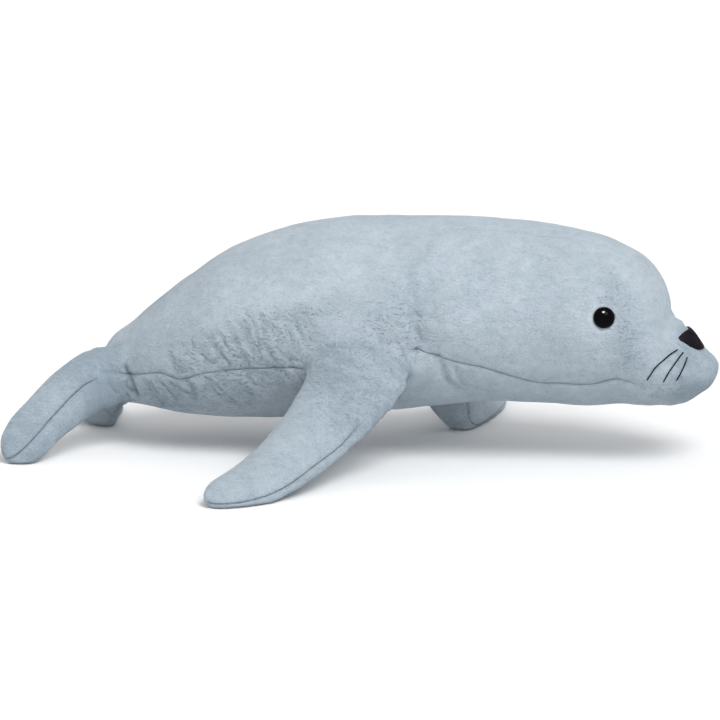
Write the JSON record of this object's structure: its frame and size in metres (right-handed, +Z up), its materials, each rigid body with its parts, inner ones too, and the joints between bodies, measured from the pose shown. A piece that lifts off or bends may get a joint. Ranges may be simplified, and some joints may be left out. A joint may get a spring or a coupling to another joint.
{
  "type": "plush seal",
  "caption": "Soft stuffed toy seal that stands on spread flippers, with domed eyes, a stitched nose and stitched whiskers.",
  "frame": {"origin": "on the floor, under the middle of the outer box", "axes": "+X from the tail to the nose, +Y to the animal's left, +Z up"},
  "size_m": [0.5362, 0.4394, 0.1838],
  "materials": {
    "plush": "short-pile plush, pale blue-grey",
    "eye_plastic": "polished black",
    "thread": "satin-stitched embroidery thread, near black",
    "washer_plastic": "moulded, off-white"
  },
  "bodies": {
    "root": {"body": "plush", "front_flipper_right": "plush", "front_flipper_left": "plush", "hind_flipper_right": "plush", "hind_flipper_left": "plush", "eye_right": "eye_plastic", "eye_left": "eye_plastic", "eye_washer_right": "washer_plastic", "eye_washer_left": "washer_plastic", "nose": "thread", "whisker_right_1": "thread", "whisker_right_2": "thread", "whisker_right_3": "thread", "whisker_left_1": "thread", "whisker_left_2": "thread", "whisker_left_3": "thread"}
  },
  "joints": []
}
